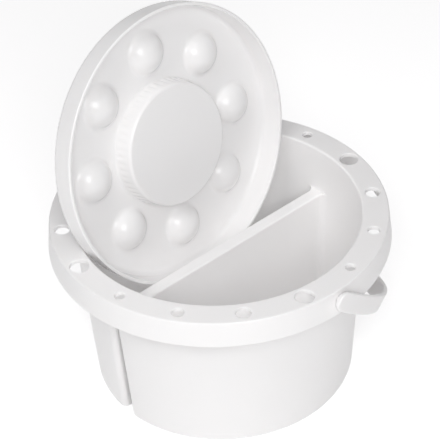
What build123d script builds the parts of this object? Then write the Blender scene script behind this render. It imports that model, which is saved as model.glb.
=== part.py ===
"""Brush washer cup: a divided tub with a holed rim, a palette lid and a bail handle.

Millimetres, Z up. The tub axis is the Z axis and the tub stands on z = 0.
The divider runs along X, the rear basin is on the +Y side, and the handle
turns about an axis along Y and hangs on the +X side.
"""
import os
from math import acos, atan2, cos, degrees, hypot, pi, radians, sin, sqrt, tan

from build123d import *

os.makedirs("parts", exist_ok=True)

# Tub: overall outline
tub_height = 94.5
body_radius = 73.1
body_draft = 3.53
body_wall = 1.6
foot_round = 1.8
floor_thickness = 1.8
floor_fillet = 2.6
foot_recess = 0.6
foot_width = 6.0

# Tub: flange and skirt
flange_width = 11.9
flange_thickness = 2.0
skirt_depth = 13.6
skirt_spread = 1.5
skirt_wall = 1.6
rim_edge_round = 0.8
opening_round = 1.2
skirt_edge_round = 0.5
corner_fillet = 0.8

# Tub: divider between the two basins
divider_drop = 24.7
strip_width = 6.7
strip_thickness = 1.6
strip_round = 1.0
divider_wall = 1.6
divider_draft = 1.0
front_corner = 2.4
rear_corner = 3.2
cavity_corner = 3.4

# Brush holes: four sizes that repeat round the flange
hole_inset = 6.5
hole_set_count = 4
first_hole_angle = 56.25
hole_diameters = {"medium": 7.5, "large": 9.5, "small": 4.9, "fine": 6.0}

# Palette lid
lid_clearance = 0.2
lid_height = 14.2
lid_wall = 1.8
lid_draft = 3.4
lid_back_round = 4.2
lid_lip_round = 0.6
lid_inner_fillet = 2.4
well_face_radius = 31.2
well_face_drop = 2.5
well_draft = 7.0
well_edge_round = 1.4
well_foot_fillet = 1.0
flute_count = 54
flute_width = 1.6
flute_depth = 0.4
flute_margin = 1.9
cup_count = 8
cup_offset = 16.5
cup_phase = -2.0
cup_mouth_radius = 9.6
cup_depth = 7.0
cup_mouth_round = 0.8
cup_foot_fillet = 1.5

# Pose of the lid in the rear basin
lid_foot_height = 56.6
lid_turn = 3.85
lid_shift = -4.2
seat_clearance = 0.3
lean_limit = 30.0
lean_step_count = 24
edge_point_count = 240
bend_point_count = 6
wall_point_count = 4

# Bail handle
strap_offset = 3.6
strap_bow = 5.7
strap_width = 10.5
strap_thickness = 2.2
strap_round = 0.8
pivot_drop = 5.5
pivot_hole_radius = 2.5
pivot_clearance = 0.08
shoulder_radius = 4.0
head_radius = 3.2
head_length = 1.5
head_chamfer = 0.5
rest_clearance = 0.4

touch = 0.001
rim_radius = body_radius + flange_width
hole_circle_radius = rim_radius - hole_inset
lid_radius = body_radius - body_wall - lid_clearance
cup_circle_radius = well_face_radius + cup_offset
handle_half_span = rim_radius + strap_offset
handle_reach = handle_half_span + strap_bow
strip_z = tub_height - divider_drop
split_z = strip_z - strip_thickness
pivot_z = tub_height - pivot_drop
body_slope = tan(radians(body_draft))
divider_slope = tan(radians(divider_draft))
far = 2 * rim_radius


def outer_radius(z):
    """Outer radius of the tapered body at height z."""
    return body_radius - (tub_height - z) * body_slope


def inner_radius(z):
    """Inner radius of the tapered body at height z."""
    return outer_radius(z) - body_wall


def flat_y(z):
    """Distance of a basin's inner flat face from the XZ plane at height z."""
    return strip_width / 2 + (strip_z - z) * divider_slope


def turned(points, roundings):
    """Solid of revolution about Z from (radius, z) points, some of them rounded."""
    with BuildPart() as part:
        with BuildSketch(Plane.XZ) as sketch:
            with BuildLine():
                Polyline(*points, close=True)
            make_face()
            for (r, z), size in roundings:
                corner = sketch.vertices().sort_by_distance((r, z, 0))[0]
                fillet(corner, size)
        revolve(axis=Axis.Z)
    return part.part


def half_space(side, inset, low, high):
    """Block on one side of the divider, its face drafted like the basin's flat wall."""
    with BuildPart() as part:
        with BuildSketch(Plane.YZ):
            with BuildLine():
                Polyline(
                    (side * (flat_y(low) - inset), low),
                    (side * (flat_y(high) - inset), high),
                    (side * far, high),
                    (side * far, low),
                    close=True,
                )
            make_face()
        extrude(amount=far, both=True)
    return part.part


def d_block(side, inset, low, high, corner, foot):
    """D-shaped block between two heights, with its upright corners and its foot rounded."""
    cone = turned(
        [
            (0, low),
            (outer_radius(low) - inset, low),
            (outer_radius(high) - inset, high),
            (0, high),
        ],
        [],
    )
    block = cone & half_space(side, divider_wall - inset, low, high)
    upright = [e for e in block.edges() if e.bounding_box().size.Z > (high - low) / 2]
    block = block.fillet(corner, upright)
    if foot == 0:
        return block
    return block.fillet(foot, [e for e in block.edges() if e.bounding_box().max.Z < low + touch])


def cavity(side):
    """Hollow of one basin, from its floor to the top of the divider."""
    return d_block(side, body_wall, floor_thickness, strip_z, cavity_corner, floor_fillet)


def basin(side, corner):
    """One D-shaped basin below the split height, with a shallow recess under its floor."""
    shell = d_block(side, 0, 0, split_z, corner, foot_round) - cavity(side)
    recess = d_block(side, foot_width, -floor_thickness, foot_recess, cavity_corner, 0)
    return shell - recess


def bridge():
    """Strip across the tub that joins the tops of the two basins' flat walls."""
    slab = Pos(0, 0, (split_z + strip_z) / 2) * Cylinder(far, strip_thickness)
    for side in (-1, 1):
        slab -= cavity(side)
    top_edges = [
        e
        for e in slab.edges()
        if e.bounding_box().min.Z > strip_z - touch and e.bounding_box().size.X < far
    ]
    slab = slab.fillet(strip_round, top_edges)
    middle_radius = outer_radius(split_z) - body_wall / 2
    return slab & Pos(0, 0, strip_z) * Cylinder(middle_radius, far)


def flange_ring():
    """Upper wall, flange and outward-flaring skirt in one turned section."""
    skirt_z = tub_height - skirt_depth
    under_z = tub_height - flange_thickness
    skirt_radius = rim_radius + skirt_spread
    under_radius = rim_radius - skirt_wall + skirt_spread * flange_thickness / skirt_depth
    return turned(
        [
            (inner_radius(split_z), split_z),
            (inner_radius(tub_height), tub_height),
            (rim_radius, tub_height),
            (skirt_radius, skirt_z),
            (skirt_radius - skirt_wall, skirt_z),
            (under_radius, under_z),
            (outer_radius(under_z), under_z),
            (outer_radius(split_z), split_z),
        ],
        [
            ((inner_radius(tub_height), tub_height), opening_round),
            ((rim_radius, tub_height), rim_edge_round),
            ((skirt_radius, skirt_z), skirt_edge_round),
            ((skirt_radius - skirt_wall, skirt_z), skirt_edge_round),
            ((under_radius, under_z), corner_fillet),
            ((outer_radius(under_z), under_z), corner_fillet),
        ],
    )


def brush_holes():
    """Cutters for the four sizes of brush hole, four of each round the flange."""
    diameters = list(hole_diameters.values()) * hole_set_count
    cutters = []
    for index, diameter in enumerate(diameters):
        angle = radians(first_hole_angle + index * 360 / len(diameters))
        place = Pos(
            hole_circle_radius * cos(angle),
            hole_circle_radius * sin(angle),
            tub_height - flange_thickness / 2,
        )
        cutters.append(place * Cylinder(diameter / 2, 2 * flange_thickness))
    return cutters


def rim():
    """Upper part of the tub: flange with its holes, skirt, upper wall and bridge."""
    body = flange_ring() + bridge()
    pivots = Pos(0, 0, pivot_z) * Rot(90, 0, 0) * Cylinder(pivot_hole_radius, 2 * far)
    skirt_zone = Cylinder(far, 4 * far) - Cylinder(outer_radius(tub_height) + skirt_wall, 4 * far)
    body -= pivots & skirt_zone
    for cutter in brush_holes():
        body -= cutter
    return body


def lid_axes(lean):
    """Axes of a lid that is turned about Z and leans back: across, up its slope, outwards."""
    turn = radians(lid_turn)
    across = (cos(turn), sin(turn), 0)
    upward = (-sin(turn) * sin(lean), cos(turn) * sin(lean), cos(lean))
    facing = (sin(turn) * cos(lean), -cos(turn) * cos(lean), sin(lean))
    return across, upward, facing


def lid_profile():
    """Radius and depth of points down the lid's outside, from its lip to its back."""
    slope = tan(radians(lid_draft))
    straight = lid_height - lid_back_round
    hub = lid_radius - straight * slope - lid_back_round
    bends = [step * pi / 2 / bend_point_count for step in range(bend_point_count + 1)]
    lip = [(lid_radius - lid_lip_round * (1 - cos(b)), -lid_lip_round * (1 - sin(b))) for b in bends]
    depths = [straight * step / wall_point_count for step in range(1, wall_point_count)]
    wall = [(lid_radius - depth * slope, -depth) for depth in depths]
    back = [(hub + lid_back_round * cos(b), -straight - lid_back_round * sin(b)) for b in bends]
    return lip + wall + back


def lid_points(centre, lean):
    """Points on the lid's outside, on the half of it that points down."""
    across, upward, facing = lid_axes(lean)
    profile = lid_profile()
    for step in range(edge_point_count):
        angle = -pi * step / edge_point_count
        ray = [cos(angle) * a + sin(angle) * u for a, u in zip(across, upward)]
        for reach, depth in profile:
            yield tuple(c + reach * r + depth * f for c, r, f in zip(centre, ray, facing))


def lid_centre(lean):
    """Centre of the lip circle when the lip stands just clear of the flat wall."""
    upward = lid_axes(lean)[1]
    centre = (lid_shift, 0, lid_foot_height + lid_radius * upward[2])
    nearest = min(y - flat_y(z) for x, y, z in lid_points(centre, lean) if z < strip_z)
    return (centre[0], seat_clearance - nearest, centre[2])


def rim_gap(lean):
    """Smallest gap between the lid's outside and the opening of the tub."""
    points = lid_points(lid_centre(lean), lean)
    return min(inner_radius(z) - hypot(x, y) for x, y, z in points if z < tub_height)


def solve_lean():
    """Angle at which the lid leans back until its edge meets the tub's opening."""
    low, high = 0.0, radians(lean_limit)
    for _ in range(lean_step_count):
        middle = (low + high) / 2
        if rim_gap(middle) > seat_clearance:
            low = middle
        else:
            high = middle
    return low


def palette_lid():
    """Palette lid in its own frame: lip at z = 0, open side towards +Z."""
    slope = tan(radians(lid_draft))
    well_slope = tan(radians(well_draft))
    back_z = -lid_height
    floor_z = back_z + lid_wall
    back_radius = lid_radius - lid_height * slope
    foot_radius = well_face_radius + (-well_face_drop - floor_z) * well_slope
    inside_face = well_face_radius - lid_wall
    inside_mouth = foot_radius - lid_wall + lid_wall * well_slope
    corners = {
        "lip": (lid_radius, 0),
        "lip_in": (lid_radius - lid_wall, 0),
        "floor": (lid_radius - lid_wall + floor_z * slope, floor_z),
        "foot": (foot_radius, floor_z),
        "face": (well_face_radius, -well_face_drop),
        "mouth": (inside_mouth, back_z),
        "back": (back_radius, back_z),
        "well": (inside_face, -well_face_drop - lid_wall),
    }
    body = turned(
        [
            (0, -well_face_drop),
            corners["face"],
            corners["foot"],
            corners["floor"],
            corners["lip_in"],
            corners["lip"],
            corners["back"],
            corners["mouth"],
            corners["well"],
            (0, -well_face_drop - lid_wall),
        ],
        [
            (corners["face"], well_edge_round),
            (corners["foot"], well_foot_fillet),
            (corners["floor"], lid_inner_fillet),
            (corners["lip_in"], lid_lip_round),
            (corners["lip"], lid_lip_round),
            (corners["back"], lid_back_round),
            (corners["mouth"], cup_mouth_round),
            (corners["well"], well_foot_fillet),
        ],
    )
    ball_radius = (cup_mouth_radius**2 + cup_depth**2) / (2 * cup_depth)
    ball_z = back_z + cup_depth - ball_radius
    behind = Pos(0, 0, floor_z - far / 2) * Box(far, far, far)
    for place in PolarLocations(cup_circle_radius, cup_count, cup_phase):
        body += place * (Pos(0, 0, ball_z) * Sphere(ball_radius + lid_wall) - behind)
    domes = [e for e in circles_at(body, floor_z) if e.radius < cup_mouth_radius + lid_wall]
    body = body.fillet(cup_foot_fillet, domes)
    for place in PolarLocations(cup_circle_radius, cup_count, cup_phase):
        body -= place * (Pos(0, 0, ball_z) * Sphere(ball_radius))
    mouths = [e for e in circles_at(body, back_z) if e.radius < cup_mouth_radius + lid_wall]
    body = body.fillet(cup_mouth_round, mouths)
    return body - flutes(foot_radius, floor_z)


def circles_at(body, z):
    """Circular edges of a body that lie at one height."""
    return [
        e
        for e in body.edges()
        if e.geom_type == GeomType.CIRCLE and abs(e.center(CenterOf.BOUNDING_BOX).Z - z) < touch
    ]


def flutes(foot_radius, floor_z):
    """V-shaped grooves up the outside of the lid's central well."""
    low = Vector(foot_radius, 0, floor_z)
    high = Vector(well_face_radius, 0, -well_face_drop)
    rise = (high - low).normalized()
    outward = Vector(rise.Z, 0, -rise.X)
    foot = Plane(origin=low + rise * flute_margin, x_dir=outward, z_dir=rise)
    with BuildPart() as part:
        with BuildSketch(foot):
            with BuildLine():
                Polyline(
                    (-flute_depth, 0),
                    (flute_depth, -flute_width),
                    (flute_depth, flute_width),
                    close=True,
                )
            make_face()
        extrude(amount=(high - low).length - 2 * flute_margin)
    return Compound([place * part.part for place in PolarLocations(0, flute_count)])


def rest_angle():
    """Angle below the horizontal at which the hanging strap meets the body wall."""
    reach = handle_reach - strap_thickness / 2
    half = strap_width / 2
    wall = outer_radius(pivot_z) + rest_clearance
    along = reach + body_slope * half
    across = body_slope * reach - half
    return atan2(across, along) + acos(wall / hypot(along, across))


def handle():
    """Bail handle: a flat strap bent to a half ellipse, with a stud at each end."""
    half = strap_width / 2
    inner_y = handle_half_span - strap_thickness / 2
    with BuildPart() as part:
        with BuildSketch():
            Ellipse(handle_reach + strap_thickness / 2, handle_half_span + strap_thickness / 2)
            Ellipse(handle_reach - strap_thickness / 2, inner_y, mode=Mode.SUBTRACT)
            with Locations((-far / 2, 0)):
                Rectangle(far, 2 * far, mode=Mode.SUBTRACT)
            with Locations((-half / 2, handle_half_span), (-half / 2, -handle_half_span)):
                Rectangle(half, strap_thickness)
        extrude(amount=half, both=True)
    strap = part.part
    with BuildPart() as part:
        with BuildSketch(Plane.XZ):
            Circle(half)
            with Locations((far / 2, 0)):
                Rectangle(far, strap_width)
        extrude(amount=far, both=True)
    strap = strap & part.part
    rims = [e for e in strap.edges() if abs(e.length - strap_thickness) > touch]
    strap = strap.fillet(strap_round, rims)
    for side in (-1, 1):
        strap += stud(side, inner_y)
    return Pos(0, 0, pivot_z) * Rot(0, degrees(rest_angle()), 0) * strap


def stud_step(side, radius, start, end):
    """One cylinder of a pivot stud, between two distances from the XZ plane."""
    return Pos(0, side * (start + end) / 2, 0) * Rot(90, 0, 0) * Cylinder(radius, end - start)


def stud(side, inner_y):
    """Stepped pivot stud: shoulder outside the skirt, neck in its hole, head behind it."""
    slope = skirt_spread / skirt_depth
    bulge = rim_radius - sqrt(rim_radius**2 - head_radius**2)
    shoulder_y = rim_radius + (pivot_drop + shoulder_radius) * slope + seat_clearance
    head_y = rim_radius + (pivot_drop - head_radius) * slope - skirt_wall - bulge - seat_clearance
    neck_radius = pivot_hole_radius - pivot_clearance
    shoulder = stud_step(side, shoulder_radius, shoulder_y, inner_y + strap_thickness / 2)
    neck = stud_step(side, neck_radius, head_y - head_length / 2, shoulder_y + strap_thickness / 2)
    head = stud_step(side, head_radius, head_y - head_length, head_y)
    tip = min(head.edges(), key=lambda e: abs(e.center().Y))
    return shoulder + neck + head.chamfer(head_chamfer, None, [tip])


lean = solve_lean()
across, upward, facing = lid_axes(lean)
lid_plane = Plane(origin=lid_centre(lean), x_dir=across, z_dir=facing)

export_step(rim(), "parts/rim.step")
export_step(basin(-1, front_corner), "parts/front_basin.step")
export_step(basin(1, rear_corner), "parts/rear_basin.step")
export_step(lid_plane * palette_lid(), "parts/palette_lid.step")
export_step(handle(), "parts/handle.step")
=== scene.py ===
"""Brush washer cup: a divided tub with a holed rim, a palette lid and a bail handle.

Metres, Z up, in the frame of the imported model: the tub stands on z = 0, its axis
is the Z axis and its divider runs along X.
"""

import logging
from dataclasses import dataclass, field
from enum import Enum, IntEnum
from math import atan2, cos, hypot, pi, radians, sin, sqrt, tan

import bmesh
import bpy
from mathutils import Matrix, Vector


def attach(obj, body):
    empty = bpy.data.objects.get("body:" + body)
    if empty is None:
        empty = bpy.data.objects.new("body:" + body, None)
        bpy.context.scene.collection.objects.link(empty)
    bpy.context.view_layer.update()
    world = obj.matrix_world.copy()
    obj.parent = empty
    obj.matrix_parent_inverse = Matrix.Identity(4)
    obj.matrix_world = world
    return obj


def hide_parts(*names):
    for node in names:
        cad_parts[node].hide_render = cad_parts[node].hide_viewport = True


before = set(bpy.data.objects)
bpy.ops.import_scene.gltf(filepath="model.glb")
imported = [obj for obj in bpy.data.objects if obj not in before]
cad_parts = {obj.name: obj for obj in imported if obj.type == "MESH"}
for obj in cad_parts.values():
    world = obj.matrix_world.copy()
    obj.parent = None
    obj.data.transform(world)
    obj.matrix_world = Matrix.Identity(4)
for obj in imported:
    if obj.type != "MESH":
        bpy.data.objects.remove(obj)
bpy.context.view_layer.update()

logging.basicConfig(level=logging.INFO, format="%(message)s")
log = logging.getLogger("brush_washer")

Geometry = bmesh.types.BMVert | bmesh.types.BMEdge | bmesh.types.BMFace

ORIGIN = (0.0, 0.0, 0.0)
Y_AXIS = (0.0, 1.0, 0.0)
Z_AXIS = (0.0, 0.0, 1.0)
WHITE = (1.0, 1.0, 1.0, 1.0)
ON_AXIS = 1e-9
SAME_LEVEL = 1e-7
TOUCHING = 1e-6
ROUND_PROFILE = 0.5
ROUNDING_SEGMENTS = 6
SMALL_ROUNDING_SEGMENTS = 4
SHARP_ANGLE = radians(32.0)


class Body(Enum):
    """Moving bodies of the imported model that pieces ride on."""

    TUB = "tub"
    LID = "lid"
    HANDLE = "handle"


class Side(IntEnum):
    """Sides of the divider, as signs along the Y axis."""

    FRONT = -1
    REAR = 1


class LampKind(Enum):
    """Kinds of lamp in the studio."""

    SOFTBOX = "AREA"
    BULB = "POINT"


@dataclass(frozen=True)
class MouldedPlastic:
    """White moulded plastic with a faint moulding grain and slow changes of tint."""

    name: str
    tint: tuple[float, float, float]
    shade: tuple[float, float, float]
    refraction: float = 1.49
    roughness: float = 0.36
    roughness_spread: float = 0.08
    glow: float = 0.25
    glow_radius: tuple[float, float, float] = (0.0015, 0.00146, 0.00142)
    cloud_scale: float = 22.0
    cloud_detail: float = 3.0
    cloud_stops: tuple[float, float] = (0.32, 0.68)
    scuff_scale: float = 154.0
    scuff_detail: float = 4.0
    grain_scale: float = 420.0
    grain_detail: float = 2.0
    grain_strength: float = 0.012
    grain_depth: float = 0.0002

    def material(self) -> bpy.types.Material:
        """Build the shader.

        Returns:
            The material, ready to put in a slot.
        """
        made = bpy.data.materials.new(self.name)
        made.use_nodes = True
        nodes = made.node_tree.nodes
        link = made.node_tree.links.new
        shader = nodes["Principled BSDF"]
        shader.inputs["IOR"].default_value = self.refraction
        shader.inputs["Subsurface Weight"].default_value = self.glow
        shader.inputs["Subsurface Radius"].default_value = self.glow_radius
        shader.inputs["Subsurface Scale"].default_value = 1.0
        place = nodes.new("ShaderNodeTexCoord").outputs["Object"]
        tone = nodes.new("ShaderNodeValToRGB")
        colours = (self.shade, self.tint)
        for stop, position, colour in zip(tone.color_ramp.elements, self.cloud_stops, colours):
            stop.position = position
            stop.color = (*colour, 1.0)
        clouds = self.noise(made.node_tree, place, self.cloud_scale, self.cloud_detail)
        link(clouds, tone.inputs["Fac"])
        link(tone.outputs["Color"], shader.inputs["Base Color"])
        spread = nodes.new("ShaderNodeMapRange")
        spread.inputs["To Min"].default_value = self.roughness - self.roughness_spread / 2
        spread.inputs["To Max"].default_value = self.roughness + self.roughness_spread / 2
        scuffs = self.noise(made.node_tree, place, self.scuff_scale, self.scuff_detail)
        link(scuffs, spread.inputs["Value"])
        link(spread.outputs["Result"], shader.inputs["Roughness"])
        bump = nodes.new("ShaderNodeBump")
        bump.inputs["Strength"].default_value = self.grain_strength
        bump.inputs["Distance"].default_value = self.grain_depth
        grain = self.noise(made.node_tree, place, self.grain_scale, self.grain_detail)
        link(grain, bump.inputs["Height"])
        link(bump.outputs["Normal"], shader.inputs["Normal"])
        return made

    @staticmethod
    def noise(
        tree: bpy.types.NodeTree, place: bpy.types.NodeSocket, scale: float, detail: float
    ) -> bpy.types.NodeSocket:
        """Add one noise texture.

        Args:
            tree: Node tree of the material.
            place: Output that gives the place on the object.
            scale: Size of the pattern, in cells per metre.
            detail: Octaves of the noise.

        Returns:
            The output that gives the noise.
        """
        made = tree.nodes.new("ShaderNodeTexNoise")
        made.inputs["Scale"].default_value = scale
        made.inputs["Detail"].default_value = detail
        tree.links.new(place, made.inputs["Vector"])
        return made.outputs["Fac"]


@dataclass(frozen=True)
class PaleFloor:
    """Matt white floor that shows brighter to the camera and in reflections."""

    name: str = "pale_floor"
    tone: tuple[float, float, float, float] = (0.96, 0.96, 0.96, 1.0)
    roughness: float = 0.9
    specular: float = 0.1
    glow: float = 0.46

    def material(self) -> bpy.types.Material:
        """Build the shader.

        Returns:
            The material, ready to put in a slot.
        """
        made = bpy.data.materials.new(self.name)
        made.use_nodes = True
        nodes = made.node_tree.nodes
        link = made.node_tree.links.new
        shader = nodes["Principled BSDF"]
        shader.inputs["Base Color"].default_value = self.tone
        shader.inputs["Roughness"].default_value = self.roughness
        shader.inputs["Specular IOR Level"].default_value = self.specular
        glow = nodes.new("ShaderNodeEmission")
        glow.inputs["Color"].default_value = WHITE
        glow.inputs["Strength"].default_value = self.glow
        brighter = nodes.new("ShaderNodeAddShader")
        link(shader.outputs[0], brighter.inputs[0])
        link(glow.outputs[0], brighter.inputs[1])
        paths = nodes.new("ShaderNodeLightPath")
        either = nodes.new("ShaderNodeMath")
        either.operation = "MAXIMUM"
        link(paths.outputs["Is Camera Ray"], either.inputs[0])
        link(paths.outputs["Is Glossy Ray"], either.inputs[1])
        mix = nodes.new("ShaderNodeMixShader")
        link(either.outputs[0], mix.inputs["Fac"])
        link(shader.outputs[0], mix.inputs[1])
        link(brighter.outputs[0], mix.inputs[2])
        link(mix.outputs[0], nodes["Material Output"].inputs["Surface"])
        return made


@dataclass(frozen=True)
class Corner:
    """Corner of a turned section: distance from the axis, height and rounding radius."""

    radius: float
    height: float
    rounding: float = 0.0

    def point(self) -> Vector:
        """Place of the corner in the XZ plane."""
        return Vector((self.radius, 0.0, self.height))


def rounding_reach(before: Corner, corner: Corner, after: Corner) -> float:
    """Distance from a corner to where its rounding starts.

    Args:
        before: The corner before it.
        corner: The corner that is rounded.
        after: The corner after it.

    Returns:
        The distance along both of the corner's edges.
    """
    one = before.point() - corner.point()
    other = after.point() - corner.point()
    return corner.rounding / tan(one.angle(other) / 2)


def round_off(
    mesh: bmesh.types.BMesh, points: list[bmesh.types.BMVert], reach: float, segments: int
) -> None:
    """Round the corners of a flat face.

    Args:
        mesh: Mesh that holds the face.
        points: Corners that are rounded.
        reach: Distance from each corner to where its rounding starts.
        segments: Edges in each rounding.
    """
    bmesh.ops.bevel(
        mesh,
        geom=points,
        offset=reach,
        offset_type="OFFSET",
        segments=segments,
        profile=ROUND_PROFILE,
        affect="VERTICES",
        material=-1,
    )


def section(
    mesh: bmesh.types.BMesh, corners: list[Corner], segments: int = ROUNDING_SEGMENTS
) -> None:
    """Draw a closed section in the XZ plane as edges, with its corners rounded.

    Args:
        mesh: Mesh that gets the section.
        corners: Corners in order.
        segments: Edges in each rounding.
    """
    points = [mesh.verts.new(corner.point()) for corner in corners]
    mesh.faces.new(points)
    shifted_back = corners[-1:] + corners[:-1]
    shifted_on = corners[1:] + corners[:1]
    for point, before, corner, after in zip(points, shifted_back, corners, shifted_on):
        if corner.rounding > 0.0:
            round_off(mesh, [point], rounding_reach(before, corner, after), segments)
    bmesh.ops.delete(mesh, geom=mesh.faces[:], context="FACES_ONLY")
    on_axis = [e for e in mesh.edges if all(v.co.x < ON_AXIS for v in e.verts)]
    bmesh.ops.delete(mesh, geom=on_axis, context="EDGES")


def spin(
    mesh: bmesh.types.BMesh,
    geometry: list[Geometry],
    angle: float,
    steps: int,
    axis: tuple[float, float, float] = Z_AXIS,
    centre: tuple[float, float, float] = ORIGIN,
    copies: bool = False,
) -> list[Geometry]:
    """Turn geometry about an axis, as a swept surface or as separate copies.

    Args:
        mesh: Mesh that holds the geometry.
        geometry: What is turned.
        angle: Angle that it turns through.
        steps: Steps in that angle.
        axis: Direction of the axis.
        centre: A point on the axis.
        copies: True for separate copies in place of a surface.

    Returns:
        The geometry at the far end.
    """
    return bmesh.ops.spin(
        mesh,
        geom=geometry,
        cent=centre,
        axis=axis,
        angle=angle,
        steps=steps,
        use_duplicate=copies,
    )["geom_last"]


def close_seams(mesh: bmesh.types.BMesh) -> None:
    """Weld what touches and turn all faces outward.

    Args:
        mesh: Mesh that changes.
    """
    bmesh.ops.remove_doubles(mesh, verts=mesh.verts[:], dist=TOUCHING)
    bmesh.ops.recalc_face_normals(mesh, faces=mesh.faces[:])


def spin_round(mesh: bmesh.types.BMesh, steps: int) -> None:
    """Turn everything in the mesh once round the Z axis: a quarter, then three copies of it.

    Args:
        mesh: Mesh that holds the section.
        steps: Steps in the full turn, a multiple of four.
    """
    spin(mesh, mesh.verts[:] + mesh.edges[:], pi / 2, steps // 4)
    quarter = mesh.verts[:] + mesh.edges[:] + mesh.faces[:]
    spin(mesh, quarter, 3 * pi / 2, 3, copies=True)
    close_seams(mesh)


def turned(
    corners: list[Corner], steps: int, segments: int = ROUNDING_SEGMENTS
) -> bmesh.types.BMesh:
    """Turn a section into a closed ring or solid.

    Args:
        corners: Corners of the section in order.
        steps: Steps in the full turn.
        segments: Edges in each rounding.

    Returns:
        The turned mesh.
    """
    mesh = bmesh.new()
    section(mesh, corners, segments)
    spin_round(mesh, steps)
    return mesh


def arc(
    mesh: bmesh.types.BMesh,
    start: bmesh.types.BMVert,
    centre: Vector,
    angle: float,
    steps: int,
) -> bmesh.types.BMVert:
    """Draw an arc of edges from a vertex, level with it.

    Args:
        mesh: Mesh that holds the vertex.
        start: Vertex that the arc starts from.
        centre: Centre of the arc.
        angle: Angle that it turns through about +Z.
        steps: Edges in the arc.

    Returns:
        The vertex at its far end.
    """
    last = spin(mesh, [start], angle, steps, centre=centre)
    return next(item for item in last if isinstance(item, bmesh.types.BMVert))


def edges_at(mesh: bmesh.types.BMesh, height: float) -> list[bmesh.types.BMEdge]:
    """Find the edges that lie level at a height.

    Args:
        mesh: Mesh that holds them.
        height: Their height.

    Returns:
        The edges.
    """
    return [e for e in mesh.edges if all(abs(v.co.z - height) < SAME_LEVEL for v in e.verts)]


def place_mesh(mesh: bmesh.types.BMesh, matrix: Matrix) -> bmesh.types.BMesh:
    """Move a whole mesh.

    Args:
        mesh: Mesh that moves.
        matrix: Where it goes.

    Returns:
        The same mesh.
    """
    bmesh.ops.transform(mesh, matrix=matrix, verts=mesh.verts[:])
    return mesh


def merge(target: bmesh.types.BMesh, source: bmesh.types.BMesh) -> None:
    """Add one mesh to another and free it.

    Args:
        target: Mesh that grows.
        source: Mesh that is added and freed.
    """
    data = bpy.data.meshes.new("joined")
    source.to_mesh(data)
    source.free()
    target.from_mesh(data)
    bpy.data.meshes.remove(data)


def bare_object(name: str, mesh: bmesh.types.BMesh) -> bpy.types.Object:
    """Make an object of a mesh, with no finish yet.

    Args:
        name: Name of the object.
        mesh: Its mesh, in place; it is freed.

    Returns:
        The object, linked to the scene.
    """
    data = bpy.data.meshes.new(name)
    mesh.to_mesh(data)
    mesh.free()
    made = bpy.data.objects.new(name, data)
    bpy.context.scene.collection.objects.link(made)
    return made


def combine(base: bpy.types.Object, steps: list[tuple[str, bpy.types.Object]]) -> None:
    """Cut other solids from an object or weld them to it, and use them up.

    Args:
        base: Object that changes.
        steps: Boolean operation and solid for each step, in order.
    """
    for index, (operation, solid) in enumerate(steps):
        change = base.modifiers.new(f"step_{index}", "BOOLEAN")
        change.operation = operation
        change.solver = "EXACT"
        change.object = solid
    bpy.context.view_layer.update()
    before = base.data
    depsgraph = bpy.context.evaluated_depsgraph_get()
    base.data = bpy.data.meshes.new_from_object(base.evaluated_get(depsgraph))
    base.modifiers.clear()
    bpy.data.meshes.remove(before)
    for _, solid in steps:
        used = solid.data
        bpy.data.objects.remove(solid)
        bpy.data.meshes.remove(used)


def dress(made: bpy.types.Object, finish: bpy.types.Material) -> bpy.types.Object:
    """Give an object its finish and smooth shading with crisp sharp edges.

    Args:
        made: The object.
        finish: Its material.

    Returns:
        The same object.
    """
    data = made.data
    data.name = made.name
    data.materials.clear()
    data.materials.append(finish)
    data.shade_smooth()
    data.set_sharp_from_angle(angle=SHARP_ANGLE)
    smooth = made.modifiers.new("flat_faces_stay_flat", "WEIGHTED_NORMAL")
    smooth.keep_sharp = True
    log.info("%s: %d faces", made.name, len(data.polygons))
    return made


@dataclass(frozen=True)
class Level:
    """Sizes of a D outline at one height: round side, flat side and corner radius."""

    height: float
    radius: float
    flat: float
    corner: float

    @property
    def corner_x(self) -> float:
        """Distance of the corners' centres from the YZ plane."""
        return sqrt((self.radius - self.corner) ** 2 - (self.flat + self.corner) ** 2)

    @property
    def swing(self) -> float:
        """Angle at which the corner meets the round side."""
        return atan2(self.flat + self.corner, self.corner_x)


@dataclass(frozen=True)
class Outline:
    """Edges of a D outline in a mesh: its flat side with both corners, and its round side."""

    level: Level
    flat_side: list[bmesh.types.BMEdge]
    round_side: list[bmesh.types.BMEdge]

    @property
    def edges(self) -> list[bmesh.types.BMEdge]:
        """All edges of the outline."""
        return self.flat_side + self.round_side

    def end(self, across: int) -> bmesh.types.BMVert:
        """Find where the round side ends.

        Args:
            across: 1 for the end on the right, -1 for the one on the left.

        Returns:
            The vertex there.
        """
        on_flat = {v for e in self.flat_side for v in e.verts}
        on_round = {v for e in self.round_side for v in e.verts}
        return max(on_flat & on_round, key=lambda v: across * v.co.x)


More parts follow.
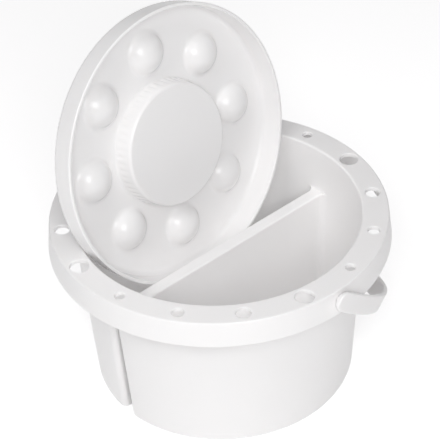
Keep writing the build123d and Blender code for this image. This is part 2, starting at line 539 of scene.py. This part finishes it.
@dataclass
class Tub:
    """The moulded tub: flange with brush holes, skirt, upper wall, divider and two basins."""

    finish: bpy.types.Material
    height: float = 0.0945
    rim_radius: float = 0.085
    body_radius: float = 0.0731
    slope: float = tan(radians(3.53))
    wall: float = 0.0016
    flange: float = 0.002
    skirt_depth: float = 0.0136
    skirt_flare: float = 0.0015
    skirt_wall: float = 0.0016
    opening_round: float = 0.0012
    rim_edge_round: float = 0.0008
    skirt_edge_round: float = 0.0005
    inner_fillet: float = 0.0008
    divider_drop: float = 0.0247
    strip_width: float = 0.0067
    strip_thickness: float = 0.0016
    strip_round: float = 0.001
    divider_slope: float = tan(radians(1.0))
    cavity_corner: float = 0.0034
    floor_thickness: float = 0.0018
    floor_fillet: float = 0.0026
    foot_round: float = 0.0018
    foot_width: float = 0.006
    foot_recess: float = 0.0006
    round_steps: int = 6
    corner_steps: int = 10
    side_steps: int = 170
    end_steps: int = 10
    lap: float = 0.0005
    hole_circle: float = 0.0785
    hole_diameters: tuple[float, ...] = (0.0075, 0.0095, 0.0049, 0.006)
    hole_count: int = 16
    hole_start: float = radians(56.25)
    hole_round: float = 0.0005
    hole_steps: int = 64
    pivot_height: float = 0.089
    pivot_hole: float = 0.0025
    pivot_steps: int = 48
    outer_corners: dict[Side, float] = field(
        default_factory=lambda: {Side.FRONT: 0.0024, Side.REAR: 0.0032}
    )

    @property
    def strip_top(self) -> float:
        """Height of the top of the divider."""
        return self.height - self.divider_drop

    @property
    def split(self) -> float:
        """Height of the underside of the divider's strip."""
        return self.strip_top - self.strip_thickness

    def outer(self, z: float) -> float:
        """Outer radius of the tapered body at a height."""
        return self.body_radius - (self.height - z) * self.slope

    def inner(self, z: float) -> float:
        """Inner radius of the tapered body at a height."""
        return self.outer(z) - self.wall

    def flat(self, z: float) -> float:
        """Distance of a basin's inner flat face from the XZ plane at a height."""
        return self.strip_width / 2 + (self.strip_top - z) * self.divider_slope

    def build(self) -> bpy.types.Object:
        """Build the tub as one moulding and put it on its body.

        Returns:
            The tub.
        """
        mesh = bmesh.new()
        inside = {side: self.hollow() for side in Side}
        outside = {side: self.shell(side) for side in Side}
        circles = []
        for levels in (inside, outside):
            front, rear = [self.skin(mesh, side, levels[side]) for side in Side]
            circles.append(self.join_across(mesh, front, rear))
        merge(mesh, self.flange_ring())
        for circle, end in zip(circles, self.ring_ends()):
            rim = [e for e in edges_at(mesh, end.height) if e.is_boundary]
            bmesh.ops.bridge_loops(mesh, edges=circle + rim)
        bmesh.ops.recalc_face_normals(mesh, faces=mesh.faces[:])
        made = bare_object("tub_moulding", mesh)
        combine(made, [("DIFFERENCE", self.hole_cutters())])
        dress(made, self.finish)
        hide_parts("rim", "front_basin", "rear_basin")
        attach(made, Body.TUB.value)
        return made

    def ring_ends(self) -> tuple[Corner, Corner]:
        """Find where the turned rim ends, just above the strip and its underside.

        Returns:
            Its inner end, then its outer end.
        """
        inside = self.strip_top + self.lap
        outside = self.split + self.lap
        return Corner(self.inner(inside), inside), Corner(self.outer(outside), outside)

    def flange_ring(self) -> bmesh.types.BMesh:
        """Turn the upper wall, flange and skirt, open below.

        Returns:
            The mesh of the ring.
        """
        skirt_z = self.height - self.skirt_depth
        under_z = self.height - self.flange
        skirt_radius = self.rim_radius + self.skirt_flare
        flare_under_flange = self.skirt_flare * self.flange / self.skirt_depth
        under_radius = self.rim_radius - self.skirt_wall + flare_under_flange
        inner_end, outer_end = self.ring_ends()
        mesh = bmesh.new()
        section(
            mesh,
            [
                inner_end,
                Corner(self.inner(self.height), self.height, self.opening_round),
                Corner(self.rim_radius, self.height, self.rim_edge_round),
                Corner(skirt_radius, skirt_z, self.skirt_edge_round),
                Corner(skirt_radius - self.skirt_wall, skirt_z, self.skirt_edge_round),
                Corner(under_radius, under_z, self.inner_fillet),
                Corner(self.outer(under_z), under_z, self.inner_fillet),
                outer_end,
            ],
        )
        below = self.strip_top + 2 * self.lap
        low = [e for e in mesh.edges if all(v.co.z < below for v in e.verts)]
        bmesh.ops.delete(mesh, geom=low, context="EDGES")
        spin_round(mesh, 2 * (self.side_steps + self.end_steps))
        return mesh

    def hole_cutters(self) -> bpy.types.Object:
        """Make the shapes that open the brush holes and the handle's pivot holes.

        Returns:
            One object that holds all of them.
        """
        cutters = bmesh.new()
        for index in range(self.hole_count):
            merge(cutters, self.brush_hole(index))
        for side in Side:
            merge(cutters, self.pivot_bore(side))
        bmesh.ops.recalc_face_normals(cutters, faces=cutters.faces[:])
        return bare_object("hole_cutters", cutters)

    def brush_hole(self, index: int) -> bmesh.types.BMesh:
        """Turn the cutter of one brush hole, with its rounded mouth.

        Args:
            index: Number of the hole, round the flange.

        Returns:
            The cutter's mesh.
        """
        radius = self.hole_diameters[index % len(self.hole_diameters)] / 2
        angle = self.hole_start + index * 2 * pi / self.hole_count
        over = self.flange
        bottom = self.height - self.flange - over
        hole = turned(
            [
                Corner(0.0, bottom),
                Corner(radius, bottom),
                Corner(radius, self.height, self.hole_round),
                Corner(radius + over, self.height),
                Corner(radius + over, self.height + over),
                Corner(0.0, self.height + over),
            ],
            self.hole_steps,
            SMALL_ROUNDING_SEGMENTS,
        )
        centre = (self.hole_circle * cos(angle), self.hole_circle * sin(angle), 0.0)
        return place_mesh(hole, Matrix.Translation(centre))

    def pivot_bore(self, side: Side) -> bmesh.types.BMesh:
        """Turn the cutter of one pivot hole in the skirt.

        Args:
            side: Side of the tub that the hole is on.

        Returns:
            The cutter's mesh.
        """
        bore = turned(
            [
                Corner(0.0, -self.skirt_wall),
                Corner(self.pivot_hole, -self.skirt_wall),
                Corner(self.pivot_hole, 2 * self.skirt_wall),
                Corner(0.0, 2 * self.skirt_wall),
            ],
            self.pivot_steps,
        )
        centre = Matrix.Translation((0.0, side * self.rim_radius, self.pivot_height))
        return place_mesh(bore, centre @ Matrix.Rotation(-side * pi / 2, 4, "X"))

    def hollow(self) -> list[Level]:
        """Levels of a basin's inner surface, from its floor up to the top of the divider.

        Returns:
            The levels in order.
        """
        levels = []
        for angle in self.sweep():
            inset = self.floor_fillet * (1 - sin(angle))
            z = self.floor_thickness + self.floor_fillet * (1 - cos(angle))
            corner = self.cavity_corner - inset
            levels.append(Level(z, self.inner(z) - inset, self.flat(z) + inset, corner))
        for angle in self.sweep():
            spread = self.strip_round * (1 - cos(angle))
            z = self.strip_top - self.strip_round * (1 - sin(angle))
            corner = self.cavity_corner + spread
            levels.append(Level(z, self.inner(z), self.flat(z) - spread, corner))
        return levels

    def shell(self, side: Side) -> list[Level]:
        """Levels of a basin's outer surface, from the recess under it up to the strip.

        Args:
            side: Side of the divider that the basin is on.

        Returns:
            The levels in order.
        """
        corner = self.outer_corners[side]
        foot_inside = (self.foot_width, self.cavity_corner)
        places = [(self.foot_recess, *foot_inside), (0.0, *foot_inside)]
        for angle in self.sweep():
            inset = self.foot_round * (1 - sin(angle))
            places.append((self.foot_round * (1 - cos(angle)), inset, corner - inset))
        places.append((self.split, 0.0, corner))
        return [
            Level(z, self.outer(z) - inset, self.flat(z) - self.wall + inset, rounding)
            for z, inset, rounding in places
        ]

    def sweep(self) -> list[float]:
        """Angles of a quarter rounding."""
        return [step * pi / 2 / self.round_steps for step in range(self.round_steps + 1)]

    def outline(self, mesh: bmesh.types.BMesh, side: Side, level: Level) -> Outline:
        """Draw a D outline.

        Args:
            mesh: Mesh that gets the outline.
            side: Side of the divider that the D is on.
            level: Its sizes.

        Returns:
            The outline.
        """
        drawing = bmesh.new()
        x, z = level.corner_x, level.height
        across = side * (level.flat + level.corner)
        turn = side * (level.swing + pi / 2)
        round_turn = side * (pi - 2 * level.swing)
        start = drawing.verts.new((x, side * level.flat, z))
        right = arc(drawing, start, Vector((x, across, z)), turn, self.corner_steps)
        left = arc(drawing, right, Vector((0.0, 0.0, z)), round_turn, self.side_steps)
        end = arc(drawing, left, Vector((-x, across, z)), turn, self.corner_steps)
        drawing.edges.new((end, start))
        known = len(mesh.edges)
        merge(mesh, drawing)
        mesh.edges.ensure_lookup_table()
        drawn = mesh.edges[known:]
        first, last = self.corner_steps, self.corner_steps + self.side_steps
        return Outline(level, drawn[:first] + drawn[last:], drawn[first:last])

    def skin(self, mesh: bmesh.types.BMesh, side: Side, levels: list[Level]) -> Outline:
        """Draw a basin's surface through its levels and close it at the first.

        Args:
            mesh: Mesh that gets the surface.
            side: Side of the divider that the basin is on.
            levels: Levels from the lowest.

        Returns:
            The outline at the open end.
        """
        loops = [self.outline(mesh, side, level) for level in levels]
        for low, high in zip(loops, loops[1:]):
            if low.level.height == high.level.height:
                bmesh.ops.triangle_fill(mesh, edges=low.edges + high.edges, use_beauty=True)
            else:
                bmesh.ops.bridge_loops(mesh, edges=low.edges + high.edges)
        bmesh.ops.contextual_create(mesh, geom=loops[0].edges)
        return loops[-1]

    def join_across(
        self, mesh: bmesh.types.BMesh, front: Outline, rear: Outline
    ) -> list[bmesh.types.BMEdge]:
        """Fill the strip between the two basins at the height of their outlines.

        Args:
            mesh: Mesh that holds the outlines.
            front: Outline of the front basin.
            rear: Outline of the rear basin.

        Returns:
            The edges of the circle round both basins.
        """
        bmesh.ops.bridge_loops(mesh, edges=front.flat_side + rear.flat_side)
        circle = front.round_side + rear.round_side
        swing = front.level.swing + rear.level.swing
        centre = Vector((0.0, 0.0, front.level.height))
        for across in (1, -1):
            start, end = front.end(across), rear.end(across)
            chord = next(e for e in start.link_edges if end in e.verts)
            known = len(mesh.edges)
            bend = across * swing * (1 - 1 / self.end_steps)
            mesh.edges.new((arc(mesh, start, centre, bend, self.end_steps - 1), end))
            mesh.edges.ensure_lookup_table()
            bow = mesh.edges[known:]
            bmesh.ops.contextual_create(mesh, geom=[chord] + bow)
            circle += bow
        return circle


@dataclass
class PaletteLid:
    """The palette lid: plate with a central well, eight paint cups and a tapered skirt."""

    finish: bpy.types.Material
    centre: tuple[float, float, float] = (-0.0042, 0.02114, 0.125891)
    turn: float = radians(3.85)
    lean: float = radians(13.634)
    radius: float = 0.0713
    height: float = 0.0142
    wall: float = 0.0018
    slope: float = tan(radians(3.4))
    back_round: float = 0.0042
    lip_round: float = 0.0006
    inner_fillet: float = 0.0024
    well_radius: float = 0.0312
    well_drop: float = 0.0025
    well_slope: float = tan(radians(7.0))
    well_edge_round: float = 0.0014
    well_foot_fillet: float = 0.001
    mouth_round: float = 0.0008
    flutes: int = 54
    flute_depth: float = 0.0004
    flute_margin: float = 0.0015
    cups: int = 8
    cup_ring: float = 0.0477
    cup_phase: float = radians(-2.0)
    cup_mouth: float = 0.0096
    cup_depth: float = 0.007
    cup_foot_fillet: float = 0.003
    steps: int = 540
    plate_cuts: int = 54
    well_cuts: int = 8

    @property
    def floor(self) -> float:
        """Height of the plate's underside below the lip, in the lid's own frame."""
        return self.wall - self.height

    @property
    def back(self) -> float:
        """Height of the plate's top side below the lip, in the lid's own frame."""
        return -self.height

    @property
    def well_face(self) -> float:
        """Height of the well's face below the lip, in the lid's own frame."""
        return -self.well_drop

    def build(self) -> bpy.types.Object:
        """Build the lid, stand it in the rear basin and put it on its body.

        Returns:
            The lid.
        """
        mesh = bmesh.new()
        section(mesh, self.corners())
        self.divide(mesh)
        spin_round(mesh, self.steps)
        self.raise_cups(mesh)
        self.cut_flutes(mesh)
        made = dress(bare_object("palette", place_mesh(mesh, self.pose())), self.finish)
        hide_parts("palette_lid")
        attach(made, Body.LID.value)
        return made

    def corners(self) -> list[Corner]:
        """Corners of the lid's section, lip at zero and open side up.

        Returns:
            The corners in order.
        """
        foot = self.well_radius + (self.well_face - self.floor) * self.well_slope
        mouth = foot - self.wall + self.wall * self.well_slope
        inner_radius = self.radius - self.wall
        inside_well = self.well_face - self.wall
        return [
            Corner(0.0, self.well_face),
            Corner(self.well_radius, self.well_face, self.well_edge_round),
            Corner(foot, self.floor, self.well_foot_fillet),
            Corner(inner_radius + self.floor * self.slope, self.floor, self.inner_fillet),
            Corner(inner_radius, 0.0, self.lip_round),
            Corner(self.radius, 0.0, self.lip_round),
            Corner(self.radius - self.height * self.slope, self.back, self.back_round),
            Corner(mouth, self.back, self.mouth_round),
            Corner(self.well_radius - self.wall, inside_well, self.well_foot_fillet),
            Corner(0.0, inside_well),
        ]

    def divide(self, mesh: bmesh.types.BMesh) -> None:
        """Divide the section finely where cups and flutes need it.

        Args:
            mesh: Mesh that holds the section.
        """
        for level in (self.floor, self.back):
            bmesh.ops.subdivide_edges(mesh, edges=edges_at(mesh, level), cuts=self.plate_cuts)
        rise = self.well_face - self.floor
        upright = [
            e
            for e in mesh.edges
            if max(v.co.x for v in e.verts) < self.cup_ring - self.cup_mouth
            and abs(e.verts[0].co.z - e.verts[1].co.z) > rise / 2
        ]
        bmesh.ops.subdivide_edges(mesh, edges=upright, cuts=self.well_cuts)

    def cap(self, distance: float, ball: float, blend: float, sunk: float) -> float:
        """Height of a ball cap with a blended foot, at a distance from its axis.

        Args:
            distance: Distance from the cap's axis.
            ball: Radius of the ball.
            blend: Radius of the blend between the ball and the plate.
            sunk: Depth of the ball's centre below the plate.

        Returns:
            Height above the plate.
        """
        foot = sqrt((ball + blend) ** 2 - (sunk + blend) ** 2)
        if distance >= foot:
            return 0.0
        if distance > foot * ball / (ball + blend):
            return blend - sqrt(blend**2 - (foot - distance) ** 2)
        return sqrt(ball**2 - distance**2) - sunk

    def raise_cups(self, mesh: bmesh.types.BMesh) -> None:
        """Push the eight cups through the plate, as domes below and bowls above.

        Args:
            mesh: Mesh of the turned lid.
        """
        ball = (self.cup_mouth**2 + self.cup_depth**2) / (2 * self.cup_depth)
        sunk = ball - self.cup_depth
        caps = {
            self.floor: (ball + self.wall, self.cup_foot_fillet, sunk + self.wall),
            self.back: (ball, self.mouth_round, sunk),
        }
        pitch = 2 * pi / self.cups
        for level, cap in caps.items():
            for vert in mesh.verts:
                if abs(vert.co.z - level) > SAME_LEVEL:
                    continue
                angle = atan2(vert.co.y, vert.co.x) - self.cup_phase
                nearest = angle - pitch * round(angle / pitch)
                reach = hypot(vert.co.x, vert.co.y)
                across = hypot(reach * cos(nearest) - self.cup_ring, reach * sin(nearest))
                vert.co.z += self.cap(across, *cap)

    def cut_flutes(self, mesh: bmesh.types.BMesh) -> None:
        """Press shallow flutes into the outside of the central well, fading to its face.

        Args:
            mesh: Mesh of the turned lid.
        """
        low = self.floor + self.flute_margin
        high = self.well_face - self.flute_margin
        for vert in mesh.verts:
            reach = hypot(vert.co.x, vert.co.y)
            wall = self.well_radius + (self.well_face - vert.co.z) * self.well_slope
            if abs(reach - wall) > TOUCHING or not low < vert.co.z < high:
                continue
            wave = (1 + cos(self.flutes * atan2(vert.co.y, vert.co.x))) / 2
            depth = self.flute_depth * (high - vert.co.z) / (high - low)
            shrink = 1 - depth * wave**2 / reach
            vert.co.x *= shrink
            vert.co.y *= shrink

    def pose(self) -> Matrix:
        """Place of the lid as it leans in the rear basin.

        Returns:
            Matrix from the lid's own frame to the model's.
        """
        turn, lean = self.turn, self.lean
        across = Vector((cos(turn), sin(turn), 0.0))
        facing = Vector((sin(turn) * cos(lean), -cos(turn) * cos(lean), sin(lean)))
        upward = facing.cross(across)
        turned_axes = Matrix((across, upward, facing)).transposed().to_4x4()
        return Matrix.Translation(self.centre) @ turned_axes


@dataclass
class BailHandle:
    """The strap handle with its two snap-in studs."""

    finish: bpy.types.Material
    half_span: float = 0.0886
    reach: float = 0.0943
    width: float = 0.0105
    thickness: float = 0.0022
    edge_round: float = 0.0008
    edge_segments: int = 5
    bow_steps: int = 120
    eye_steps: int = 32
    pivot_height: float = 0.089
    rest_angle: float = radians(38.838)
    shoulder_radius: float = 0.004
    shoulder_round: float = 0.00025
    neck_radius: float = 0.00242
    head_radius: float = 0.0032
    shoulder_end: float = 0.08635
    head_end: float = 0.08316
    head_length: float = 0.0015
    head_round: float = 0.0005
    stud_steps: int = 48

    def build(self) -> bpy.types.Object:
        """Build the handle, hang it from its pivots and put it on its body.

        Returns:
            The handle.
        """
        made = bare_object("bail_strap", self.strap())
        combine(made, [("UNION", bare_object("stud", self.stud(side))) for side in Side])
        pivot = Matrix.Translation((0.0, 0.0, self.pivot_height))
        made.data.transform(pivot @ Matrix.Rotation(self.rest_angle, 4, "Y"))
        dress(made, self.finish)
        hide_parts("handle")
        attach(made, Body.HANDLE.value)
        return made

    def strap(self) -> bmesh.types.BMesh:
        """Bend the flat strap into its half ellipse and round off its ends.

        Returns:
            The strap's mesh, level, with its pivots on the Y axis.
        """
        mesh = bmesh.new()
        near = self.half_span - self.thickness / 2
        outer = self.half_span + self.thickness / 2
        half = self.width / 2
        outward = ((near, -half), (outer, -half), (outer, 0.0))
        inward = ((outer, half), (near, half), (near, 0.0))
        points = [mesh.verts.new((0.0, y, z)) for y, z in outward + inward]
        mesh.faces.new(points)
        corners = [v for v in points if v.co.z != 0.0]
        round_off(mesh, corners, self.edge_round, self.edge_segments)
        bmesh.ops.delete(mesh, geom=mesh.faces[:], context="FACES_ONLY")
        first = mesh.edges[:]
        bent = spin(mesh, mesh.verts[:] + first, -pi, self.bow_steps)
        last = [item for item in bent if isinstance(item, bmesh.types.BMEdge)]
        stretch = self.reach / self.half_span
        bmesh.ops.scale(mesh, vec=(stretch, 1.0, 1.0), verts=mesh.verts[:])
        for end in (first, last):
            upper = [e for e in end if all(v.co.z > -TOUCHING for v in e.verts)]
            points = list(dict.fromkeys(v for e in upper for v in e.verts))
            spin(mesh, points + upper, -pi, self.eye_steps, axis=Y_AXIS)
        close_seams(mesh)
        return mesh

    def stud(self, side: Side) -> bmesh.types.BMesh:
        """Turn one pivot stud: shoulder, neck and snap-in head.

        Args:
            side: Side of the tub that the stud is on.

        Returns:
            The mesh of the stud.
        """
        tip = self.head_end - self.head_length
        stud = turned(
            [
                Corner(0.0, self.half_span),
                Corner(self.shoulder_radius, self.half_span),
                Corner(self.shoulder_radius, self.shoulder_end, self.shoulder_round),
                Corner(self.neck_radius, self.shoulder_end),
                Corner(self.neck_radius, self.head_end),
                Corner(self.head_radius, self.head_end),
                Corner(self.head_radius, tip, self.head_round),
                Corner(0.0, tip),
            ],
            self.stud_steps,
            SMALL_ROUNDING_SEGMENTS,
        )
        return place_mesh(stud, Matrix.Rotation(-side * pi / 2, 4, "X"))


@dataclass(frozen=True)
class Lamp:
    """One lamp of the studio: place, width or radius in metres, and power in watts."""

    name: str
    place: tuple[float, float, float]
    size: float
    power: float
    kind: LampKind = LampKind.SOFTBOX


@dataclass
class Studio:
    """Pale floor, soft light and the camera at the photograph's angle."""

    focal_length: float = 142.54
    sensor_width: float = 36.0
    clip_start: float = 0.05
    distance: float = 0.871045
    elevation: float = radians(38.23)
    turn: float = radians(40.54)
    roll: float = radians(-2.66)
    shift_x: float = -0.000389
    shift_y: float = 0.004726
    aim: tuple[float, float, float] = (0.0, 0.0, 0.0945)
    floor_size: float = 6.0
    floor_height: float = -0.0001
    sky_tone: tuple[float, float, float, float] = (1.0, 0.985, 1.0, 1.0)
    sky_light: float = 0.27
    sky_seen: float = 1.0
    lamps: tuple[Lamp, ...] = (
        Lamp("key", (-0.452, -0.646, 0.71), 0.4, 3.95),
        Lamp("left", (-0.64, -0.056, 0.861), 0.5, 2.0),
        Lamp("top", (-0.112, -0.133, 1.08), 0.5, 1.1),
        Lamp("glint", (-0.38, -0.82, 0.45), 0.12, 0.25),
        Lamp("rear_wall_light", (0.0, 0.035, 0.032), 0.02, 0.007, LampKind.BULB),
        Lamp("front_wall_light", (-0.02, -0.035, 0.045), 0.02, 0.0022, LampKind.BULB),
    )

    def build(self) -> None:
        """Set up the view, the floor, the world and the lamps."""
        bpy.context.scene.view_settings.view_transform = "Standard"
        self.camera()
        self.floor()
        self.world()
        for lamp in self.lamps:
            self.hang(lamp)

    def camera(self) -> None:
        """Place the camera where the photograph was taken from."""
        turn = Matrix.Rotation(-self.turn, 3, "Z")
        right = turn @ Vector((1.0, 0.0, 0.0))
        up = turn @ Vector((0.0, sin(self.elevation), cos(self.elevation)))
        ahead = turn @ Vector((0.0, cos(self.elevation), -sin(self.elevation)))
        place = Vector(self.aim) - right * self.shift_x - up * self.shift_y
        place -= ahead * self.distance
        tilted_right = right * cos(self.roll) + up * sin(self.roll)
        tilted_up = up * cos(self.roll) - right * sin(self.roll)
        view = Matrix((tilted_right, tilted_up, -ahead)).transposed().to_4x4()
        data = bpy.data.cameras.new("camera")
        data.lens = self.focal_length
        data.sensor_width = self.sensor_width
        data.sensor_fit = "HORIZONTAL"
        data.clip_start = self.clip_start
        made = bpy.data.objects.new("camera", data)
        made.matrix_world = Matrix.Translation(place) @ view
        bpy.context.scene.collection.objects.link(made)
        bpy.context.scene.camera = made

    def floor(self) -> None:
        """Lay the pale floor that catches the object's shadow."""
        mesh = bmesh.new()
        bmesh.ops.create_grid(mesh, x_segments=1, y_segments=1, size=self.floor_size / 2)
        made = bare_object("floor", mesh)
        made.data.materials.append(PaleFloor().material())
        made.location = (0.0, 0.0, self.floor_height)

    def world(self) -> None:
        """Light the scene from all round, and show white behind it."""
        made = bpy.data.worlds.new("studio")
        bpy.context.scene.world = made
        made.use_nodes = True
        nodes = made.node_tree.nodes
        link = made.node_tree.links.new
        background = nodes["Background"]
        background.inputs["Color"].default_value = self.sky_tone
        paths = nodes.new("ShaderNodeLightPath")
        strength = nodes.new("ShaderNodeMapRange")
        strength.inputs["To Min"].default_value = self.sky_light
        strength.inputs["To Max"].default_value = self.sky_seen
        link(paths.outputs["Is Camera Ray"], strength.inputs["Value"])
        link(strength.outputs["Result"], background.inputs["Strength"])

    def hang(self, lamp: Lamp) -> None:
        """Hang a softbox that faces the object, or an unseen bulb inside a basin.

        The bulbs stand for the daylight that the thin walls let through.

        Args:
            lamp: The lamp.
        """
        data = bpy.data.lights.new(lamp.name, lamp.kind.value)
        data.energy = lamp.power
        made = bpy.data.objects.new(lamp.name, data)
        made.location = lamp.place
        if lamp.kind is LampKind.SOFTBOX:
            data.size = lamp.size
            ahead = Vector(self.aim) - Vector(lamp.place)
            made.rotation_euler = ahead.to_track_quat("-Z", "Y").to_euler()
        else:
            data.shadow_soft_size = lamp.size
            made.visible_camera = False
            made.visible_glossy = False
        bpy.context.scene.collection.objects.link(made)


def main() -> None:
    """Build the object and its studio."""
    tub_white = MouldedPlastic(
        "white_tub",
        tint=(0.99, 0.98, 0.977),
        shade=(0.98, 0.97, 0.968),
    )
    lid_white = MouldedPlastic(
        "white_lid",
        tint=(0.985, 0.975, 0.972),
        shade=(0.975, 0.965, 0.963),
        roughness=0.26,
        roughness_spread=0.03,
        glow=0.4,
        glow_radius=(0.002, 0.00195, 0.0019),
    )
    handle_white = MouldedPlastic(
        "white_handle",
        tint=(0.975, 0.963, 0.96),
        shade=(0.965, 0.953, 0.951),
    )
    Tub(tub_white.material()).build()
    PaletteLid(lid_white.material()).build()
    BailHandle(handle_white.material()).build()
    Studio().build()


if __name__ == "__main__":
    main()
